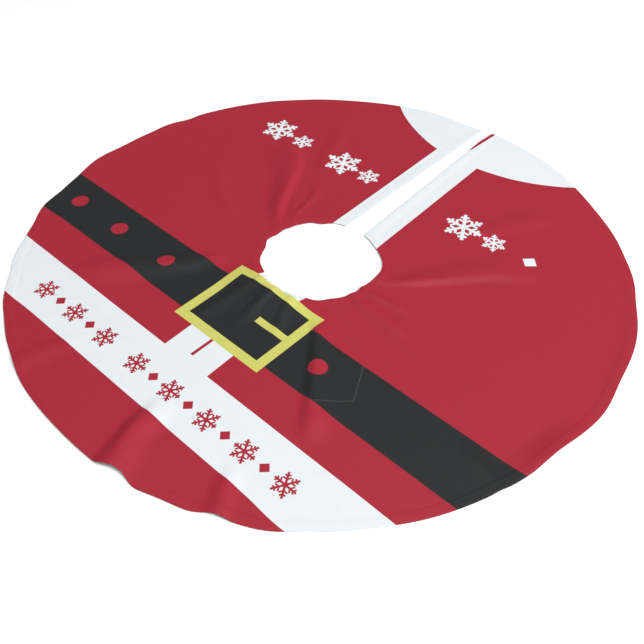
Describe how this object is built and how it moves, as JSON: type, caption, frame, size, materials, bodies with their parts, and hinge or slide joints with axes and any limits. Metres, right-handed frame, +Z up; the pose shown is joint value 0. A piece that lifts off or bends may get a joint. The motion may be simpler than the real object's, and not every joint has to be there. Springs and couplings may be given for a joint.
{
  "type": "tree skirt",
  "caption": "Round printed cloth skirt with a centre trunk hole and an open radial slit, faced and stitched along every edge; lies on the floor round a tree's foot.",
  "frame": {"origin": "on the floor, at the centre of the trunk hole and of the round rim", "axes": "+Z up from the floor, +Y out along the slit from the trunk hole to the rim, +X to the right with the slit at the top"},
  "size_m": [1.1172, 1.1172, 0.0156],
  "materials": {
    "printed_polyester": "matte",
    "facing_tape": "matte",
    "sewing_thread": "satin",
    "label_satin": "satin"
  },
  "bodies": {
    "root": {"face_panel": "printed_polyester", "neck_facing": "facing_tape", "left_rim_facing": "facing_tape", "right_rim_facing": "facing_tape", "left_slit_facing": "facing_tape", "right_slit_facing": "facing_tape", "neck_edge_stitching": "sewing_thread", "neck_hem_stitching": "sewing_thread", "rim_edge_stitching": "sewing_thread", "rim_hem_stitching": "sewing_thread", "left_slit_edge_stitching": "sewing_thread", "left_slit_hem_stitching": "sewing_thread", "right_slit_edge_stitching": "sewing_thread", "right_slit_hem_stitching": "sewing_thread", "care_label": "label_satin"}
  },
  "joints": []
}
